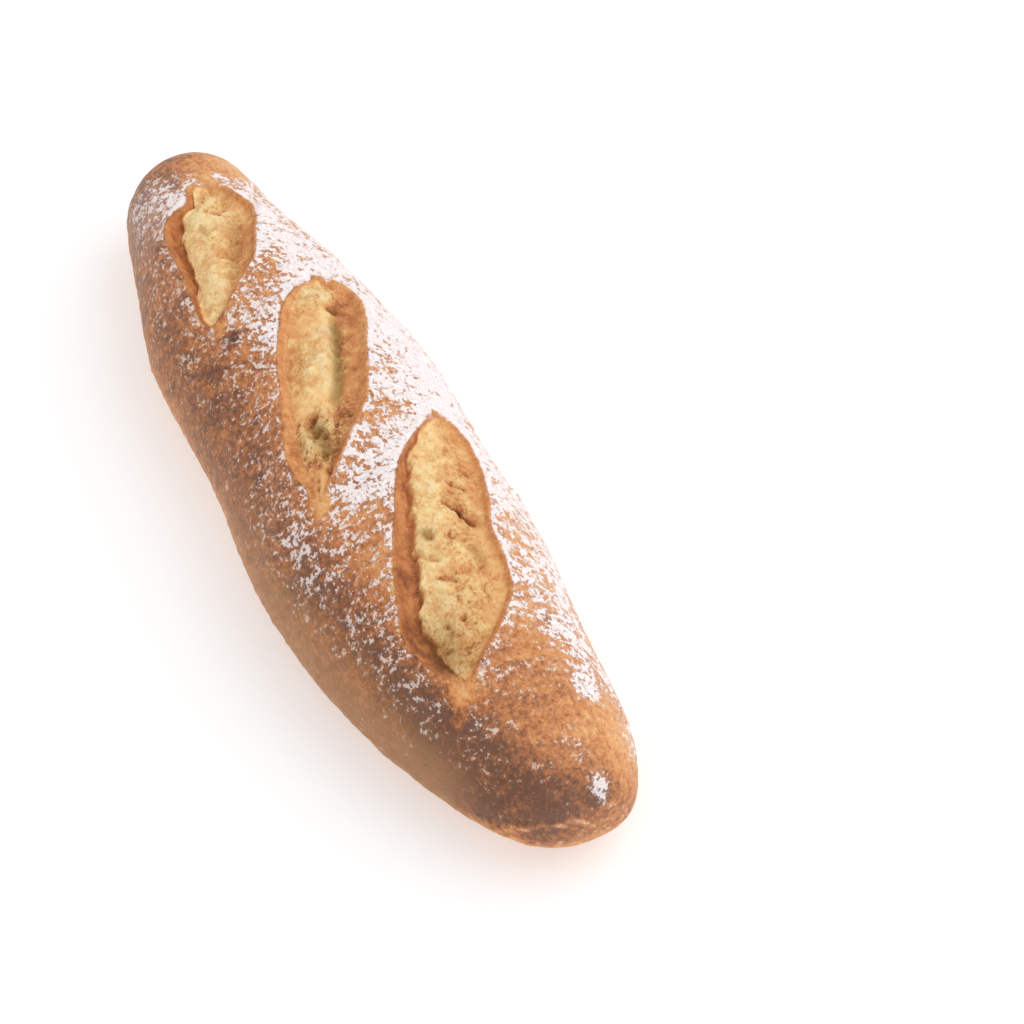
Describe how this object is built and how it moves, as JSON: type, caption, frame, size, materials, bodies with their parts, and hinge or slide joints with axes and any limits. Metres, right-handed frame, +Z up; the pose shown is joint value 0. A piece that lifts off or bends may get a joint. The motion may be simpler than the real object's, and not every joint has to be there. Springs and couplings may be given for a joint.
{
  "type": "long loaf",
  "caption": "Long crusty loaf of bread with rounded ends, a flat base and slanting slashes that opened in the oven, dusted with flour.",
  "frame": {"origin": "on the table, under the middle of the loaf", "axes": "+X along the loaf towards its blunter end, +Y to its side, +Z up"},
  "size_m": [0.28, 0.0812, 0.0519],
  "materials": {
    "crust": "matte baked crust, orange-brown with a dusting of flour, golden crumb in the slashes"
  },
  "bodies": {
    "root": {"loaf": "crust"}
  },
  "joints": []
}
